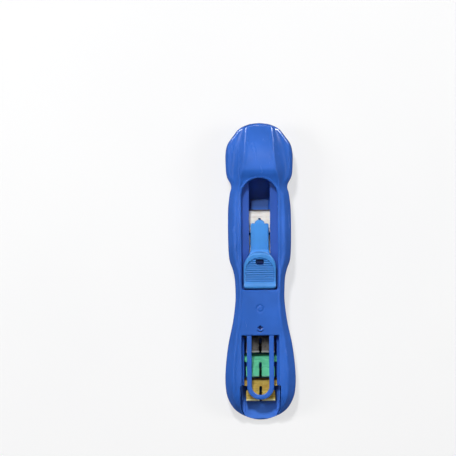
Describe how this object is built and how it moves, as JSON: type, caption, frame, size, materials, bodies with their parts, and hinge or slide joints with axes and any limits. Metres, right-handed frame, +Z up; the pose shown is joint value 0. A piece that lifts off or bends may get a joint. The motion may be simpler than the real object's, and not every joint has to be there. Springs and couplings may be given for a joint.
{
  "type": "paper clip dispenser",
  "caption": "Hand-held dispenser that pushes folded steel clips onto the edge of a stack of paper with a thumb slider, loaded with a row of clips.",
  "frame": {"origin": "middle of the flat underside", "axes": "+Y along the length to the nose where the paper goes in, +Z up out of the thumb slider's side, +X to the right"},
  "size_m": [0.03, 0.126, 0.0181],
  "materials": {
    "shell": "glossy moulded blue plastic",
    "tray": "satin moulded blue plastic",
    "track": "satin moulded blue plastic",
    "rail": "smooth moulded blue plastic",
    "slider": "satin moulded light blue plastic",
    "clip_steel": "plated spring steel",
    "clip_green": "green coated spring steel",
    "clip_gold": "gold coloured spring steel"
  },
  "bodies": {
    "housing": {"top_shell": "shell", "bottom_shell": "shell", "magazine_channel": "tray", "slide_track": "track", "upper_jaw_rail_left": "rail", "upper_jaw_rail_right": "rail", "lower_jaw_rail_left": "rail", "lower_jaw_rail_right": "rail"},
    "slider": {"thumb_slider": "slider", "slider_retainer": "tray"},
    "arm": {"pusher_arm": "slider"},
    "front_clip": {"clip_1": "clip_steel"},
    "clip_queue": {"clip_2": "clip_steel", "clip_3": "clip_steel", "clip_4": "clip_steel", "clip_5": "clip_steel", "clip_6": "clip_steel", "clip_7": "clip_green", "clip_8": "clip_gold"},
    "tongue": {"loading_tongue": "shell"}
  },
  "joints": [
    {"name": "slider_feed", "type": "slide", "parent": "housing", "child": "slider", "axis": [0, 1, 0], "range_m": [0, 0.0285]},
    {"name": "arm_flex", "type": "hinge", "parent": "slider", "child": "arm", "pos_m": [0, 0.0072, 0.01055], "axis": [1, 0, 0], "range_deg": [0, 8], "stiffness_Nm_per_rad": 0.02},
    {"name": "front_clip_feed", "type": "slide", "parent": "housing", "child": "front_clip", "axis": [0, 1, 0], "range_m": [0, 0.0285], "deforming": ["clip_1"]},
    {"name": "queue_advance", "type": "slide", "parent": "housing", "child": "clip_queue", "axis": [0, 1, 0], "range_m": [0, 0.0102]},
    {"name": "tongue_flex", "type": "hinge", "parent": "housing", "child": "tongue", "pos_m": [0, -0.0273, 0.012], "axis": [-1, 0, 0], "range_deg": [0, 5], "stiffness_Nm_per_rad": 0.1}
  ],
  "couplings": [
    {"joint": "front_clip_feed", "follows": "slider_feed", "ratio": 1},
    {"joint": "queue_advance", "follows": "slider_feed", "ratio": 0.35789}
  ]
}
